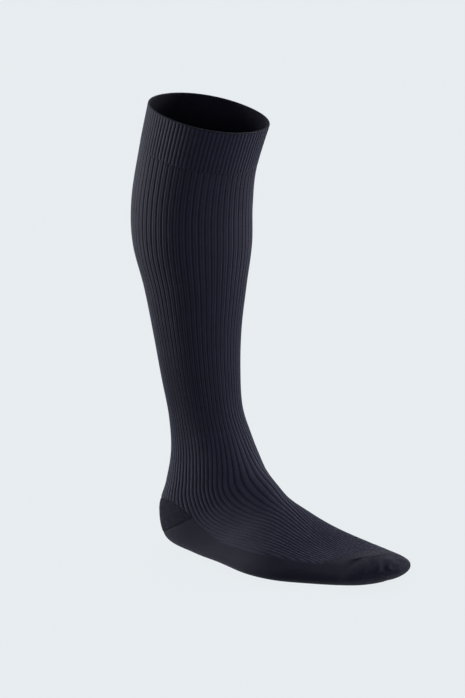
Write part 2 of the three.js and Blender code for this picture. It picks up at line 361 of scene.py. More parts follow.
@dataclass
class Stretch:
    """A grid of places between two edge lines, with rows set close beside each edge.

    Attributes:
        station: Station of each place, by row and column.
        turn: Turn of each place.
        from_start: Distance from the first edge line, in millimetres.
        to_end: Distance to the last edge line, in millimetres.
    """

    station: Numbers
    turn: Numbers
    from_start: Numbers
    to_end: Numbers

    SAMPLES = 160
    EDGE_SHARE = 0.4
    LEAST_EDGE = 1e-9

    @classmethod
    def between(cls, outline: Outline, turns: Numbers, start: StationLine, end: StationLine,
                spacing: float, edges: tuple[float, ...] = (0.0, 0.5, 1.0, 1.6, 2.4)) -> Stretch:
        """Spaces rows evenly by length in each column.

        Args:
            outline: The stocking's outline.
            turns: Turn of each column.
            start: The first edge line.
            end: The last edge line.
            spacing: Distance between rows, in millimetres.
            edges: Distances of the rows beside each edge line, in millimetres.

        Returns:
            The grid of places.
        """
        part = np.linspace(0, 1, cls.SAMPLES)[:, None]
        first, last = start(turns), end(turns)
        samples = first + (last - first) * part
        points = outline.at(samples, np.broadcast_to(turns, samples.shape)) / MM
        steps = np.linalg.norm(np.diff(points, axis=0), axis=-1)
        lengths = np.concatenate([np.zeros((1, len(turns))), steps.cumsum(axis=0)])
        total = lengths[-1]
        shrink = np.minimum(1, cls.EDGE_SHARE * total / max(edges[-1], cls.LEAST_EDGE))
        near = np.array(edges)[:, None] * shrink
        middle_rows = max(int(total.max() / spacing), 2)
        middle_part = np.linspace(0, 1, middle_rows + 1)[1:-1, None]
        middle = near[-1] + (total - 2 * near[-1]) * middle_part
        distance = np.concatenate([near, middle, (total - near)[::-1]])
        station = np.stack([np.interp(distance[:, i], lengths[:, i], samples[:, i])
                            for i in range(len(turns))], axis=1)
        return cls(station, np.broadcast_to(turns, station.shape), distance, total - distance)


@dataclass
class Sheet:
    """One side of the cloth as a grid of points, with what the knitting does to each.

    Attributes:
        points: Places in metres, by row and column.
        wale: Count of ribs from the front to each point.
        rib: How far each point takes part in the ribs, from 0 to 1.
        parted: How far each rib parts into its two wales, from 0 to 1.
        plain: Depth of the plain cloth there, in metres.
        outward: Unit direction out of the cloth.
        along: Length down the stocking, in metres.
    """

    points: Numbers
    wale: Numbers
    rib: Numbers
    parted: Numbers
    plain: Numbers
    outward: Numbers
    along: Numbers


def length_down(outline: Outline, station: Numbers) -> Numbers:
    """Gives the length from the top edge to a station, down the outer side, in metres."""
    stations = np.linspace(0, LAST_STATION, LENGTH_STEPS + 1)
    points = outline.at(stations, np.full_like(stations, OUTER_SIDE))
    steps = np.linalg.norm(np.diff(points, axis=0), axis=-1)
    return np.interp(station, stations, np.concatenate([[0], steps.cumsum()]))


def outer_sheet(outline: Outline, stretch: Stretch, rib: Numbers, plain: Numbers) -> Sheet:
    """Makes the outer side of the cloth.

    Args:
        outline: The stocking's outline.
        stretch: The grid of places.
        rib: How far each place takes part in the ribs.
        plain: Depth of the plain cloth at each place, in millimetres.

    Returns:
        The sheet, still without its ribs.
    """
    return Sheet(
        points=outline.at(stretch.station, stretch.turn),
        wale=ribs_from_front(stretch.station, stretch.turn),
        rib=np.broadcast_to(rib, stretch.turn.shape),
        parted=smoothstep((PARTED_END - stretch.station) / PARTED_FADE),
        plain=np.broadcast_to(plain, stretch.turn.shape) * MM,
        outward=outline.outward(stretch.station, stretch.turn),
        along=length_down(outline, stretch.station),
    )


def inner_sheet(outline: Outline, stretch: Stretch, depth: float = CLOTH_THICKNESS) -> Sheet:
    """Makes the plain inner side of the cloth, at a depth in millimetres."""
    none = np.zeros_like(stretch.station)
    return outer_sheet(outline, stretch, none, none + depth)


def store(mesh: bpy.types.Mesh, name: str, kind: str, values: Numbers) -> None:
    """Stores an attribute in a mesh, with a number or a vector for each point."""
    attribute = mesh.attributes.new(name, kind, "POINT")
    attribute.data.foreach_set("vector" if kind == "FLOAT_VECTOR" else "value",
                               values.astype("f").ravel())


def add_object(name: str, data: bpy.types.ID) -> bpy.types.Object:
    """Adds an object to the scene."""
    item = bpy.data.objects.new(name, data)
    bpy.context.scene.collection.objects.link(item)
    return item


class ClothMesh:
    """A closed wall of cloth, put together from an outer and an inner sheet."""

    def __init__(self, name: str) -> None:
        """Starts an empty mesh under a name."""
        self.name = name
        self.sheets: list[Sheet] = []
        self.faces: list[Numbers] = []
        self.sharp_lines: list[Numbers] = []
        self.count = 0

    def add_sheet(self, sheet: Sheet, is_tube: bool, faces_out: bool) -> Numbers:
        """Adds a sheet's points and faces.

        Args:
            sheet: The sheet.
            is_tube: Whether its last column joins its first.
            faces_out: Whether its faces look out of the stocking.

        Returns:
            The points' numbers, by row and column.
        """
        rows, columns = sheet.wale.shape
        numbers = self.count + np.arange(rows * columns).reshape(rows, columns)
        self.count += rows * columns
        self.sheets.append(sheet)
        around = np.concatenate([numbers, numbers[:, :1]], axis=1) if is_tube else numbers
        self._add_quads(around[:-1], around[1:], faces_out)
        return numbers

    def _add_quads(self, upper: Numbers, lower: Numbers, faces_out: bool) -> None:
        """Adds faces between two rows of numbers, or between two stacks of rows."""
        quads = np.stack([upper[..., :-1], upper[..., 1:], lower[..., 1:], lower[..., :-1]], axis=-1)
        quads = quads.reshape(-1, 4)
        self.faces.append(quads if faces_out else quads[:, ::-1])

    def add_rim(self, outside: Numbers, inside: Numbers, is_closed: bool, faces_up: bool) -> None:
        """Joins an edge of the outer sheet to the same edge of the inner one.

        Args:
            outside: Numbers along the outer edge.
            inside: Numbers along the inner edge.
            is_closed: Whether the edge runs all round.
            faces_up: Whether the rim looks back up the stocking.
        """
        if is_closed:
            outside, inside = np.append(outside, outside[0]), np.append(inside, inside[0])
        self._add_quads(inside[None], outside[None], faces_up)

    def add_tip(self, ring: Numbers, sheet: Sheet, tip: Numbers, faces_out: bool) -> None:
        """Closes a sheet's last ring at one point.

        Args:
            ring: The ring's numbers.
            sheet: The sheet that the ring belongs to.
            tip: The point that closes it, in metres.
            faces_out: Whether its faces look out of the stocking.
        """
        self.sheets.append(Sheet(
            points=tip[None, None], wale=sheet.wale[-1:, :1], rib=np.zeros((1, 1)),
            parted=np.zeros((1, 1)), plain=sheet.plain[-1:, :1], outward=np.array([[[0.0, -1.0, 0.0]]]),
            along=sheet.along[-1:, :1]))
        number = self.count
        self.count += 1
        fan = np.stack([ring, np.roll(ring, -1), np.full_like(ring, number)], axis=-1)
        self.faces.append(fan if faces_out else fan[:, ::-1])

    def sharpen(self, line: Numbers) -> None:
        """Keeps the shading apart along a border, so the next piece can carry it on."""
        self.sharp_lines.append(line)

    def _mark_sharp(self, mesh: bpy.types.Mesh) -> None:
        """Marks the edges between neighbouring points of the borders as sharp."""
        if not self.sharp_lines:
            return
        ends = np.empty(len(mesh.edges) * 2, dtype=np.int32)
        mesh.edges.foreach_get("vertices", ends)
        is_border = np.zeros(self.count, dtype=bool)
        is_border[np.concatenate(self.sharp_lines)] = True
        sharp = is_border[ends.reshape(-1, 2)].all(axis=1)
        mesh.attributes.new("sharp_edge", "BOOLEAN", "EDGE").data.foreach_set("value", sharp)

    def to_object(self) -> bpy.types.Object:
        """Makes the object, with its attributes and a UV map that runs along the knitting."""
        points = np.concatenate([sheet.points.reshape(-1, 3) for sheet in self.sheets])
        mesh = bpy.data.meshes.new(self.name)
        mesh.from_pydata(points.tolist(), [], [face for faces in self.faces for face in faces.tolist()])
        for name in ("wale", "rib", "parted", "plain"):
            values = np.concatenate([getattr(sheet, name).ravel() for sheet in self.sheets])
            store(mesh, name, "FLOAT", values)
        outward = np.concatenate([sheet.outward.reshape(-1, 3) for sheet in self.sheets])
        store(mesh, "outward", "FLOAT_VECTOR", outward)
        self._add_uv(mesh)
        self._mark_sharp(mesh)
        return add_object(self.name, mesh)

    def _add_uv(self, mesh: bpy.types.Mesh) -> None:
        """Adds the UV map: u counts ribs from the front, v is the length down it in metres."""
        wale = np.concatenate([sheet.wale.ravel() for sheet in self.sheets])
        along = np.concatenate([sheet.along.ravel() for sheet in self.sheets])
        corners = np.empty(len(mesh.loops), dtype=np.int32)
        mesh.loops.foreach_get("vertex_index", corners)
        places = np.stack([wale[corners], along[corners]], axis=-1)
        mesh.uv_layers.new(name=KNIT_UV).data.foreach_set("uv", places.astype("f").ravel())


def add_node(tree: bpy.types.NodeTree, kind: str, settings: dict | None = None,
             inputs: dict | None = None) -> bpy.types.Node:
    """Adds a node with its settings and links.

    Args:
        tree: The tree that gets the node.
        kind: The node's type.
        settings: Values for the node's own properties.
        inputs: Values or output sockets, by the name or number of the input.

    Returns:
        The node.
    """
    node = tree.nodes.new(kind)
    for name, value in (settings or {}).items():
        setattr(node, name, value)
    for key, value in (inputs or {}).items():
        if isinstance(value, bpy.types.NodeSocket):
            tree.links.new(value, node.inputs[key])
        else:
            node.inputs[key].default_value = value
    return node


def calculate(tree: bpy.types.NodeTree, operation: str, *values: float | bpy.types.NodeSocket,
              ) -> bpy.types.NodeSocket:
    """Adds one step of arithmetic to a tree and gives its result."""
    node = add_node(tree, "ShaderNodeMath", {"operation": operation}, dict(enumerate(values)))
    return node.outputs[0]


def away_from_middle(tree: bpy.types.NodeTree, part: bpy.types.NodeSocket) -> bpy.types.NodeSocket:
    """Gives 0 in the middle of a part that runs from 0 to 1, and 1 at both its ends."""
    off_middle = calculate(tree, "SUBTRACT", part, 0.5)
    return calculate(tree, "MULTIPLY", calculate(tree, "ABSOLUTE", off_middle), 2.0)


def turned(tree: bpy.types.NodeTree, rotation: bpy.types.NodeSocket,
           angle: bpy.types.NodeSocket) -> bpy.types.NodeSocket:
    """Turns rotations about their own upright axis."""
    turn = add_node(tree, "FunctionNodeAxisAngleToRotation", inputs={"Angle": angle})
    node = add_node(tree, "FunctionNodeRotateRotation", {"rotation_space": "LOCAL"}, {
        "Rotation": rotation, "Rotate By": turn.outputs[0]})
    return node.outputs[0]


class NodeTreeKind(Enum):
    """The kinds of Geometry Nodes trees that dress the stocking."""

    RIBS = "knitted ribs"
    TERRY = "terry loops"
    STITCHES = "seam stitches"


def start_tree(kind: NodeTreeKind, sockets: dict[str, str],
               ) -> tuple[bpy.types.NodeTree, bpy.types.Node]:
    """Starts a Geometry Nodes tree with named inputs.

    Args:
        kind: What the tree makes, which is also its name.
        sockets: The socket type of each named input.

    Returns:
        The tree and its group input node.
    """
    tree = bpy.data.node_groups.new(kind.value, "GeometryNodeTree")
    tree.interface.new_socket("Geometry", in_out="INPUT", socket_type="NodeSocketGeometry")
    for name, socket_type in sockets.items():
        tree.interface.new_socket(name, in_out="INPUT", socket_type=socket_type)
    tree.interface.new_socket("Geometry", in_out="OUTPUT", socket_type="NodeSocketGeometry")
    return tree, add_node(tree, "NodeGroupInput")


def end_tree(tree: bpy.types.NodeTree, geometry: bpy.types.NodeSocket,
             material: bpy.types.NodeSocket) -> None:
    """Ends a tree with smooth, realized geometry that has its material."""
    smooth = add_node(tree, "GeometryNodeSetShadeSmooth", inputs={"Geometry": geometry})
    real = add_node(tree, "GeometryNodeRealizeInstances", inputs={"Geometry": smooth.outputs[0]})
    dressed = add_node(tree, "GeometryNodeSetMaterial",
                       inputs={"Geometry": real.outputs[0], "Material": material})
    add_node(tree, "NodeGroupOutput", inputs={"Geometry": dressed.outputs[0]})


def read_attribute(tree: bpy.types.NodeTree, name: str, data_type: str = "FLOAT",
                   ) -> bpy.types.NodeSocket:
    """Adds a reader of a named attribute to a Geometry Nodes tree."""
    node = add_node(tree, "GeometryNodeInputNamedAttribute", {"data_type": data_type},
                    {"Name": name})
    return node.outputs["Attribute"]


def rib_tree() -> bpy.types.NodeTree:
    """Builds the tree that raises round ribs in the cloth and sinks its plain stretches.

    Returns:
        The tree, which also keeps each point's height on its rib, lowered again in the parting between
        its two wales, as the attribute "crest". The material paints low values darker, which is painted
        shade in the grooves and partings.
    """
    tree, given = start_tree(NodeTreeKind.RIBS, {
        "Rib Height": "NodeSocketFloat", "Roundness": "NodeSocketFloat",
        "Parting": "NodeSocketFloat", "Parting Shade": "NodeSocketFloat",
        "Material": "NodeSocketMaterial"})
    wale, rib, parted, plain = (
        read_attribute(tree, name) for name in ("wale", "rib", "parted", "plain"))
    phase = calculate(tree, "FRACT", wale)
    off_middle = away_from_middle(tree, phase)
    edge = calculate(tree, "POWER", off_middle, given.outputs["Roundness"])
    middle = calculate(tree, "MAXIMUM", 0.0, calculate(
        tree, "SUBTRACT", 1.0, calculate(tree, "MULTIPLY", off_middle, 3.0)))
    split = calculate(tree, "MULTIPLY", middle, parted)
    fall = calculate(tree, "ADD", edge, calculate(
        tree, "MULTIPLY", split, given.outputs["Parting"]))
    groove = calculate(tree, "MULTIPLY", fall, given.outputs["Rib Height"])
    plain_part = calculate(tree, "MULTIPLY", calculate(tree, "SUBTRACT", 1.0, rib), plain)
    depth = calculate(tree, "ADD", calculate(tree, "MULTIPLY", groove, rib), plain_part)
    shift = add_node(tree, "ShaderNodeVectorMath", {"operation": "SCALE"}, {
        "Vector": read_attribute(tree, "outward", "FLOAT_VECTOR"),
        "Scale": calculate(tree, "MULTIPLY", depth, -1.0)})
    moved = add_node(tree, "GeometryNodeSetPosition", inputs={
        "Geometry": given.outputs["Geometry"], "Offset": shift.outputs["Vector"]})
    # Painted shade: the colour darkens into the grooves, and into the parting between a rib's two wales
    # more than the parting sinks.
    dark = calculate(tree, "MAXIMUM", edge, calculate(
        tree, "MULTIPLY", split, given.outputs["Parting Shade"]))
    crest = calculate(tree, "MULTIPLY", calculate(tree, "SUBTRACT", 1.0, dark), rib)
    kept = add_node(tree, "GeometryNodeStoreNamedAttribute", {"data_type": "FLOAT"}, {
        "Geometry": moved.outputs[0], "Name": "crest", "Value": crest})
    end_tree(tree, kept.outputs[0], given.outputs["Material"])
    return tree


# Terry loops: the most to a square metre, how they are flattened, and their least and largest share
# of the loop size.
LOOP_DENSITY = 2.0e6
LOOP_SHAPE = (1.25, 0.8, 0.55)
LOOP_LEAST = 0.7
LOOP_MOST = 1.2

# Stitches: faces round and along each, half its length as a share of its step, and how flat it lies.
STITCH_SEGMENTS = 8
STITCH_RINGS = 6
STITCH_HALF = 0.55
STITCH_FLATNESS = 0.8


def terry_tree() -> bpy.types.NodeTree:
    """Builds the tree that scatters small flattened terry loops over a sheet."""
    tree, given = start_tree(NodeTreeKind.TERRY, {
        "Spacing": "NodeSocketFloat", "Loop Size": "NodeSocketFloat", "Seed": "NodeSocketInt",
        "Material": "NodeSocketMaterial"})
    spots = add_node(tree, "GeometryNodeDistributePointsOnFaces",
                     {"distribute_method": "POISSON"}, {
                         "Mesh": given.outputs["Geometry"],
                         "Distance Min": given.outputs["Spacing"],
                         "Density Max": LOOP_DENSITY, "Seed": given.outputs["Seed"]})
    bead = add_node(tree, "GeometryNodeMeshIcoSphere", inputs={
        "Radius": given.outputs["Loop Size"], "Subdivisions": 1})
    flat = add_node(tree, "GeometryNodeTransform", inputs={
        "Geometry": bead.outputs["Mesh"], "Scale": LOOP_SHAPE})
    spin = add_node(tree, "FunctionNodeRandomValue", {"data_type": "FLOAT"}, {
        2: 0.0, 3: math.tau, "Seed": given.outputs["Seed"]})
    size = add_node(tree, "FunctionNodeRandomValue", {"data_type": "FLOAT"}, {
        2: LOOP_LEAST, 3: LOOP_MOST, "Seed": calculate(tree, "ADD", given.outputs["Seed"], 1.0)})
    loops = add_node(tree, "GeometryNodeInstanceOnPoints", inputs={
        "Points": spots.outputs["Points"], "Instance": flat.outputs[0],
        "Rotation": turned(tree, spots.outputs["Rotation"], spin.outputs[1]),
        "Scale": size.outputs[1]})
    end_tree(tree, loops.outputs[0], given.outputs["Material"])
    return tree


def stitch_tree() -> bpy.types.NodeTree:
    """Builds the tree that lays stitches end to end along a line on the cloth."""
    tree, given = start_tree(NodeTreeKind.STITCHES, {
        "Stitch Length": "NodeSocketFloat", "Thread": "NodeSocketFloat",
        "Slant": "NodeSocketFloat", "Material": "NodeSocketMaterial"})
    line = add_node(tree, "GeometryNodeMeshToCurve", inputs={"Mesh": given.outputs["Geometry"]})
    spaced = add_node(tree, "GeometryNodeResampleCurve", {"mode": "LENGTH"}, {
        "Curve": line.outputs[0], "Length": given.outputs["Stitch Length"]})
    up = add_node(tree, "FunctionNodeAlignRotationToVector", {"axis": "Z"}, {
        "Vector": read_attribute(tree, "outward", "FLOAT_VECTOR")})
    ahead = add_node(tree, "FunctionNodeAlignRotationToVector", {"axis": "X", "pivot_axis": "Z"}, {
        "Rotation": up.outputs[0],
        "Vector": add_node(tree, "GeometryNodeInputTangent").outputs[0]})
    bead = add_node(tree, "GeometryNodeMeshUVSphere", inputs={
        "Segments": STITCH_SEGMENTS, "Rings": STITCH_RINGS, "Radius": given.outputs["Thread"]})
    stretch = calculate(tree, "DIVIDE", calculate(
        tree, "MULTIPLY", given.outputs["Stitch Length"], STITCH_HALF), given.outputs["Thread"])
    shape = add_node(tree, "GeometryNodeTransform", inputs={
        "Geometry": bead.outputs["Mesh"],
        "Scale": add_node(tree, "ShaderNodeCombineXYZ", inputs={
            "X": stretch, "Y": 1.0, "Z": STITCH_FLATNESS}).outputs[0]})
    stitches = add_node(tree, "GeometryNodeInstanceOnPoints", inputs={
        "Points": spaced.outputs[0], "Instance": shape.outputs[0],
        "Rotation": turned(tree, ahead.outputs[0], given.outputs["Slant"])})
    end_tree(tree, stitches.outputs[0], given.outputs["Material"])
    return tree


class Workshop:
    """Holds the node trees and applies them to pieces."""

    MAKERS = {NodeTreeKind.RIBS: rib_tree, NodeTreeKind.TERRY: terry_tree,
              NodeTreeKind.STITCHES: stitch_tree}

    def __init__(self, outline: Outline) -> None:
        """Builds every tree once."""
        self.outline = outline
        self.trees = {kind: make() for kind, make in self.MAKERS.items()}
        self.cloths: dict[str, bpy.types.Material] = {}

    def cloth(self, finish: KnitFinish) -> bpy.types.Material:
        """Gives the material of a finish, which is built once."""
        if finish.name not in self.cloths:
            self.cloths[finish.name] = finish.material()
        return self.cloths[finish.name]

    def apply(self, item: bpy.types.Object, kind: NodeTreeKind, values: dict) -> bpy.types.Object:
        """Runs a tree on a piece and keeps the result as a plain mesh.

        Args:
            item: The piece.
            kind: Which tree to run.
            values: The tree's named inputs.

        Returns:
            The piece, with a plain mesh and no modifier.
        """
        tree = self.trees[kind]
        modifier = item.modifiers.new(kind.value, "NODES")
        modifier.node_group = tree
        for socket in tree.interface.items_tree:
            if socket.in_out == "INPUT" and socket.name in values:
                modifier[socket.identifier] = values[socket.name]
        item.update_tag()
        evaluated = item.evaluated_get(bpy.context.evaluated_depsgraph_get())
        mesh = bpy.data.meshes.new_from_object(evaluated)
        mesh.name = item.name
        item.modifiers.clear()
        item.data = mesh
        return item


def linear(hex_colour: str) -> tuple[float, float, float, float]:
    """Turns an sRGB hex colour into linear red, green and blue, with an alpha of 1."""
    channels = (int(hex_colour[place:place + 2], 16) / 255 for place in (1, 3, 5))
    return (*(value / 12.92 if value <= 0.04045 else ((value + 0.055) / 1.055) ** 2.4
              for value in channels), 1.0)


@dataclass(frozen=True)
class KnitFinish:
    """A knitted cloth of dyed nylon and elastane, in which stitches stand in wales and courses.

    Attributes:
        name: The material's name.
        slot: A slot name; not used.
        groove: Colour deep between the ribs and in their partings, which is painted shade.
        crest: Colour on the ribs.
        plain: Colour where there are no ribs.
        wales: Columns of stitches to a rib's width.
        course: Height of a row of stitches, in millimetres.
        relief: How far a stitch stands out, in millimetres.
        roughness: The yarn's roughness.
        sheen: How much fine lint catches the light from the side.
        mottle: How much the dye varies.
        grain: How far apart its light and dark specks lie, in millimetres.
    """

    name: str
    slot: str
    groove: str = "#030306"
    crest: str = "#181824"
    plain: str = "#0a0a14"
    wales: float = 3.0
    course: float = 1.3
    relief: float = 0.14
    roughness: float = 0.7
    sheen: float = 0.15
    mottle: float = 0.4
    grain: float = 1.4

    PLAIN_LINT = 0.3
    SHEEN_ROUGHNESS = 0.35
    SHEEN_COLOUR = "#b6b7d4"
    MOTTLE_SIZE = 9.0
    YARN_MOTTLE = 2.0
    SPECULAR = 0.12
    # How much lighter the stitches' tops are painted than the hollows between them, which is painted
    # shade, and the colour's share in those hollows.
    STITCH_LIGHT = 0.35
    LEAST_LIGHT = 0.85

    def material(self) -> bpy.types.Material:
        """Builds the material.

        Returns:
            A material whose stitches follow the piece's own UV map, and whose colour follows how high
            each point lies on its rib, darker in the grooves and partings as painted shade.
        """
        material = bpy.data.materials.new(self.name)
        material.use_nodes = True
        tree = material.node_tree
        tree.nodes.clear()
        stitches = self._stitches(tree)
        bump = add_node(tree, "ShaderNodeBump", inputs={
            "Strength": 1.0, "Distance": self.relief * MM, "Height": stitches})
        shader = add_node(tree, "ShaderNodeBsdfPrincipled", inputs={
            "Base Color": self._colour(tree, stitches), "Roughness": self.roughness,
            "Specular IOR Level": self.SPECULAR, "Sheen Weight": self._lint(tree),
            "Sheen Roughness": self.SHEEN_ROUGHNESS, "Sheen Tint": linear(self.SHEEN_COLOUR),
            "Specular Tint": linear(self.SHEEN_COLOUR),
            "Normal": bump.outputs[0]})
        add_node(tree, "ShaderNodeOutputMaterial", inputs={"Surface": shader.outputs[0]})
        return material

    def _lint(self, tree: bpy.types.NodeTree) -> bpy.types.NodeSocket:
        """Gives how much lint stands up, which is less on plain cloth than on the ribs."""
        rib = add_node(tree, "ShaderNodeAttribute", {"attribute_name": "rib"})
        least = self.sheen * self.PLAIN_LINT
        return calculate(tree, "MULTIPLY_ADD", rib.outputs["Fac"], self.sheen - least, least)

    def _stitches(self, tree: bpy.types.NodeTree) -> bpy.types.NodeSocket:
        """Draws V-shaped stitches and gives their height, from 0 to 1."""
        uv = add_node(tree, "ShaderNodeUVMap", {"uv_map": KNIT_UV})
        place = add_node(tree, "ShaderNodeSeparateXYZ", inputs={0: uv.outputs[0]})
        wale = calculate(tree, "FRACT", calculate(
            tree, "MULTIPLY", place.outputs["X"], self.wales))
        away = away_from_middle(tree, wale)
        rows = calculate(tree, "DIVIDE", place.outputs["Y"], self.course * MM)
        course = calculate(tree, "FRACT", calculate(
            tree, "ADD", rows, calculate(tree, "MULTIPLY", away, 0.5)))
        return calculate(tree, "MULTIPLY", self._arch(tree, course), self._arch(tree, away))

    @staticmethod
    def _arch(tree: bpy.types.NodeTree, part: bpy.types.NodeSocket) -> bpy.types.NodeSocket:
        """Gives a round arch over a part that runs from 0 to 1."""
        spare = calculate(tree, "SUBTRACT", 1.0, part)
        return calculate(tree, "MULTIPLY", calculate(tree, "MULTIPLY", part, spare), 4.0)

    def _colour(self, tree: bpy.types.NodeTree, stitches: bpy.types.NodeSocket,
                ) -> bpy.types.NodeSocket:
        """Mixes the colours of groove, rib and plain cloth, with the dye's small variation and painted
        shade between the stitches; the groove colour is painted shade too.
        """
        crest = add_node(tree, "ShaderNodeAttribute", {"attribute_name": "crest"})
        rib = add_node(tree, "ShaderNodeAttribute", {"attribute_name": "rib"})
        ribbed = add_node(tree, "ShaderNodeMix", {"data_type": "RGBA"}, {
            "Factor": crest.outputs["Fac"], 6: linear(self.groove), 7: linear(self.crest)})
        base = add_node(tree, "ShaderNodeMix", {"data_type": "RGBA"}, {
            "Factor": rib.outputs["Fac"], 6: linear(self.plain), 7: ribbed.outputs[2]})
        place = add_node(tree, "ShaderNodeTexCoord").outputs["Object"]
        cloud = add_node(tree, "ShaderNodeTexNoise", inputs={
            "Vector": place, "Scale": 1 / (self.MOTTLE_SIZE * MM), "Detail": 2.0})
        yarn = add_node(tree, "ShaderNodeTexNoise", inputs={
            "Vector": place, "Scale": 1 / (self.grain * MM), "Detail": 1.0})
        uneven = calculate(tree, "ADD", calculate(
            tree, "MULTIPLY", cloud.outputs[0], self.mottle), calculate(
            tree, "MULTIPLY", yarn.outputs[0], self.mottle * self.YARN_MOTTLE))
        mean_mottle = self.mottle * (1 + self.YARN_MOTTLE) / 2
        # Painted shade: the hollows between the stitches are darker than their tops.
        light = calculate(tree, "ADD", uneven, calculate(tree, "ADD", calculate(
            tree, "MULTIPLY", stitches, self.STITCH_LIGHT), self.LEAST_LIGHT - mean_mottle))
        shade = add_node(tree, "ShaderNodeVectorMath", {"operation": "SCALE"}, {
            "Vector": base.outputs[2], "Scale": light})
        return shade.outputs["Vector"]


# Ribbed compression knit: yarn pulled tight round the leg, so it lies smooth and shines a little.
RIBBED_KNIT = KnitFinish("nylon_elastane_rib_knit", "ribbed_knit")

# The band is taken to be double and less stretched, so its ribs look flatter and softer. Its plain
# colour, on the rolled top edge and inside, is painted darker than the leg's plain cloth, as painted
# shade on the rolled edge.
BAND_KNIT = KnitFinish("nylon_elastane_double_knit", "band_knit", crest="#141420",
                       plain="#06060c", course=1.2)

# Plain jersey knit under the foot and over the toes: even and matt.
PLAIN_KNIT = KnitFinish("nylon_plain_jersey_knit", "plain_knit")

# Ground of the terry knit, which shows as dark specks between the loops; its plain colour is a little
# darker than the leg's, as painted shade between the loops.
TERRY_KNIT = KnitFinish("nylon_terry_ground_knit", "terry_knit", plain="#080810",
                        course=1.5, relief=0.3, roughness=0.85, mottle=0.8, grain=2.2)

# Terry loops: short open loops of the same yarn, coloured lighter than the ground as a painted
# highlight on their round backs.
TERRY_LOOPS = KnitFinish("nylon_terry_loop_yarn", "terry_knit", plain="#1b1b2a",
                         course=0.6, relief=0.05, roughness=0.85, mottle=0.8, grain=2.2)

# Overlock and linking thread: the same dyed nylon, twisted, but coloured darker than the cloth as
# painted shade along the seams.
SEAM_THREAD = KnitFinish("nylon_twisted_thread", "plain_knit", plain="#07070b",
                         course=0.6, relief=0.05, roughness=0.6)


@dataclass
class KnittedPart:
    """A piece of the stocking's cloth, which takes the place of one of the solids.

    Attributes:
        outline: The stocking's outline.
        workshop: The node trees.
        name: The piece's name.
        node: The solid that it stands for.
        finish: Its cloth.
        flat: Its size laid flat and open, all round by length, in metres; not used.
        area: Its flat area in square metres, where it isn't a rectangle; not used.
        rib_height: How far its ribs stand out, in millimetres.
        thickness: How thick its cloth is, in millimetres.
        spacing: Distance between its rows of points, in millimetres.
    """

    outline: Outline
    workshop: Workshop
    name: str
    node: str
    finish: KnitFinish
    flat: tuple[float, float]
    area: float | None = None
    rib_height: float = RIB_HEIGHT
    thickness: float = CLOTH_THICKNESS
    spacing: float = 2.4

    COLUMNS_A_RIB = 8
    RIB_ROUNDNESS = 2.8
    # The parting between a rib's two wales sinks by RIB_PARTING of the rib's height and is painted
    # darker by RIB_PARTING_SHADE, which is painted shade.
    RIB_PARTING = 0.45
    RIB_PARTING_SHADE = 0.8
    INSIDE_SPACING = 9.0

    def all_round(self, ribs: int) -> Numbers:
        """Gives turns all round, with the same number of columns on each of so many ribs."""
        count = ribs * self.COLUMNS_A_RIB
        return np.arange(count) / (count / 2) - 1

    def inside(self, turns: Numbers, start: StationLine, end: StationLine) -> Sheet:
        """Makes the plain inside of the cloth between two edge lines."""
        stretch = Stretch.between(self.outline, turns, start, end, self.INSIDE_SPACING, (0.0,))
        return inner_sheet(self.outline, stretch, self.thickness)

    def tube(self, outside: Sheet, inside: Sheet, sharp_rows: tuple[int, ...] = (0, -1),
             ) -> bpy.types.Object:
        """Joins two sheets into a tube with a rim at each end, and finishes it.

        Args:
            outside: The outer side of the cloth.
            inside: The inner side.
            sharp_rows: Rows of the outer side at which another piece carries on.

        Returns:
            The finished piece.
        """
        cloth = ClothMesh(self.name)
        out_numbers = cloth.add_sheet(outside, True, True)
        in_numbers = cloth.add_sheet(inside, True, False)
        cloth.add_rim(out_numbers[0], in_numbers[0], True, True)
        cloth.add_rim(out_numbers[-1], in_numbers[-1], True, False)
        for row in sharp_rows:
            cloth.sharpen(out_numbers[row])
        return self.finish_piece(cloth.to_object())

    def finish_piece(self, item: bpy.types.Object) -> bpy.types.Object:
        """Args:
            item: The piece's own mesh.

        Returns:
            The finished piece.
        """
        self.workshop.apply(item, NodeTreeKind.RIBS, {
            "Rib Height": self.rib_height * MM, "Roundness": self.RIB_ROUNDNESS,
            "Parting": self.RIB_PARTING, "Parting Shade": self.RIB_PARTING_SHADE,
            "Material": self.workshop.cloth(self.finish)})
        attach(item, BODY)
        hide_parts(self.node)
        report_piece(item)
        return item


def report_piece(item: bpy.types.Object) -> None:
    """Logs a piece's name and how many faces it has."""
    log.info("%s: %d faces", item.name, len(item.data.polygons))


def finish_trim(item: bpy.types.Object) -> bpy.types.Object:
    """Attaches loops or stitches, which lie on the cloth and stand for no solid, to the body, and logs
    them.
    """
    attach(item, BODY)
    report_piece(item)
    return item


def seam_groove(distance: Numbers, depth: float, width: float = 1.6) -> Numbers:
    """Gives how far the cloth sinks towards a seam, in millimetres."""
    return depth * (1 - smoothstep(distance / width))


def sink(sheet: Sheet, depth: Numbers) -> Sheet:
    """Lets a sheet's points sink into the cloth by a depth in millimetres."""
    sheet.points = sheet.points - sheet.outward * np.asarray(depth)[..., None] * MM
    return sheet


def sole_edge_line(station: Numbers) -> Numbers:
    """Gives the turn where the ribs end, which falls a little from the heel's corners."""
    return 0.5 - SOLE_EDGE_FALL * smoothstep((station - HEEL_BOTTOM) / SOLE_BLEND)


def rib_share(station: Numbers, turn: Numbers) -> Numbers:
    """Gives how far the ribs stand up: past the heel they sink away towards the sole's edge."""
    past_heel = smoothstep((station - SOLE_START) / SOLE_BLEND)
    near_sole = 1 - smoothstep((np.abs(turn) - sole_edge_line(station)) / SOLE_FADE)
    return 1 - past_heel * near_sole


def over_heel(turn: Numbers) -> Numbers:
    """Gives 1 where a place lies over or under the heel pocket, and 0 on the instep's side."""
    return smoothstep((0.5 - np.abs(turn)) / HEEL_EASE)


